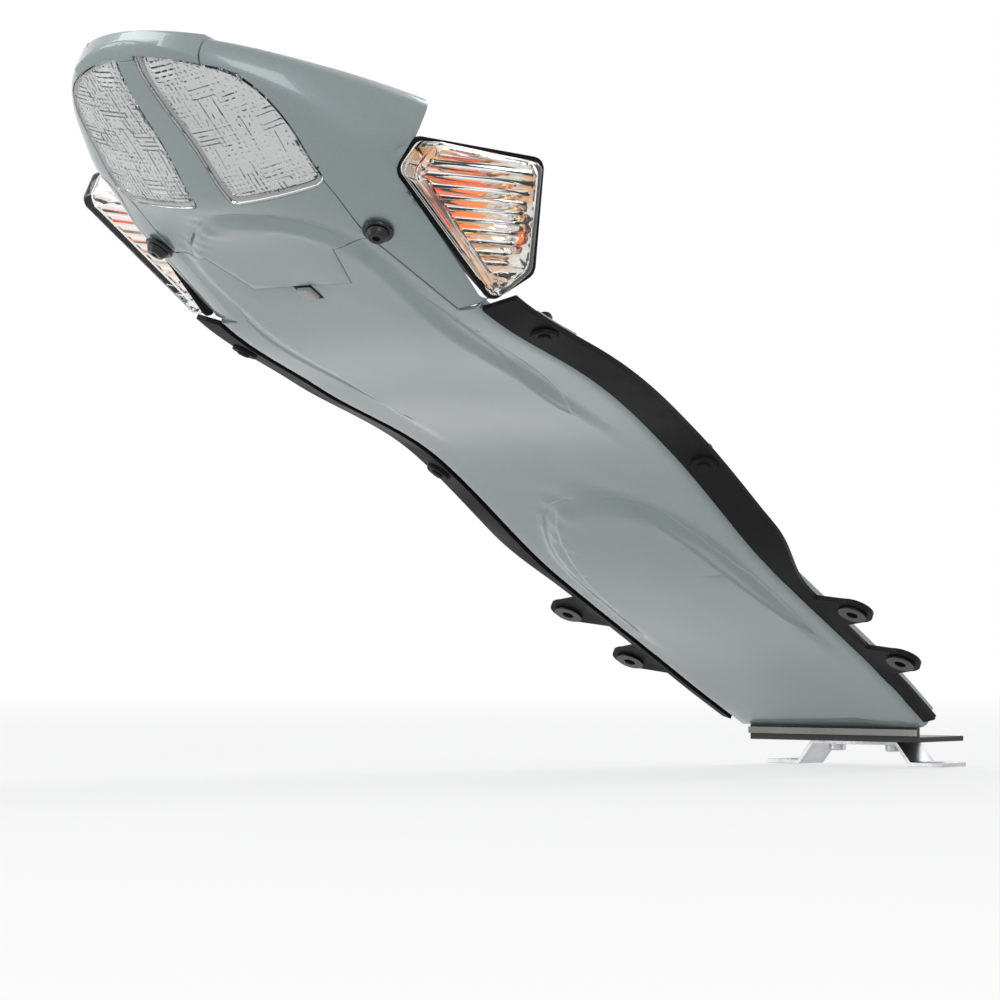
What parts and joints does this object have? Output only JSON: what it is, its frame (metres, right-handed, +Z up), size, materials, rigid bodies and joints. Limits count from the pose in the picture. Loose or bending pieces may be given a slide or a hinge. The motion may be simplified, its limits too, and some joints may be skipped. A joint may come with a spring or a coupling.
{
  "type": "motorcycle undertail",
  "caption": "Sloping painted undertail of a motorcycle with a wide rounded tail lamp, side turn signals, black edge rails with bolt ears and a folded front bracket.",
  "frame": {"origin": "middle of the front bracket's mounting holes, on the underside of its feet", "axes": "+X to the rider's right, +Y forward, +Z up; the panel rises to the rear, towards -Y"},
  "size_m": [0.241, 0.6289, 0.3668],
  "materials": {
    "silver_paint": "silver metallic paint under clear coat",
    "black_plastic": "fine moulded grain",
    "clear_lens": "clear moulded plastic with inner ribs",
    "white_lens": "frosted plastic",
    "bright_reflector": "vacuum metallised",
    "amber_bulb": "amber glass",
    "seal_rubber": "soft black",
    "pale_foam": "closed-cell foam",
    "black_metal": "satin black paint",
    "zinc_steel": "bright zinc"
  },
  "bodies": {
    "root": {"cap_screws": "black_metal", "cap_washers": "black_metal", "clip_nuts": "zinc_steel", "ear_bushes": "black_metal", "end_seal": "pale_foam", "front_bolts": "zinc_steel", "front_bracket": "zinc_steel", "front_nuts": "zinc_steel", "front_plate": "black_metal", "lamp_lower_cover": "silver_paint", "plate_lamp_body": "black_plastic", "plate_lamp_lens": "white_lens", "push_rivet_bodies": "black_plastic", "push_rivet_pins": "black_plastic", "side_cowl_left": "silver_paint", "side_cowl_right": "silver_paint", "side_rail_left": "black_plastic", "side_rail_right": "black_plastic", "signal_bulb_left": "amber_bulb", "signal_bulb_right": "amber_bulb", "signal_gasket_left": "seal_rubber", "signal_gasket_right": "seal_rubber", "signal_housing_left": "black_plastic", "signal_housing_right": "black_plastic", "signal_lens_left": "clear_lens", "signal_lens_right": "clear_lens", "signal_reflector_left": "bright_reflector", "signal_reflector_right": "bright_reflector", "signal_socket_left": "black_plastic", "signal_socket_right": "black_plastic", "tail_bulb_left": "clear_lens", "tail_bulb_right": "clear_lens", "tail_gasket_left": "seal_rubber", "tail_gasket_right": "seal_rubber", "tail_lamp_housing": "black_plastic", "tail_lens_left": "clear_lens", "tail_lens_right": "clear_lens", "tail_reflector_left": "bright_reflector", "tail_reflector_right": "bright_reflector", "tail_socket_left": "black_plastic", "tail_socket_right": "black_plastic", "tail_top_cap": "silver_paint", "undertail_panel": "silver_paint"}
  },
  "joints": []
}
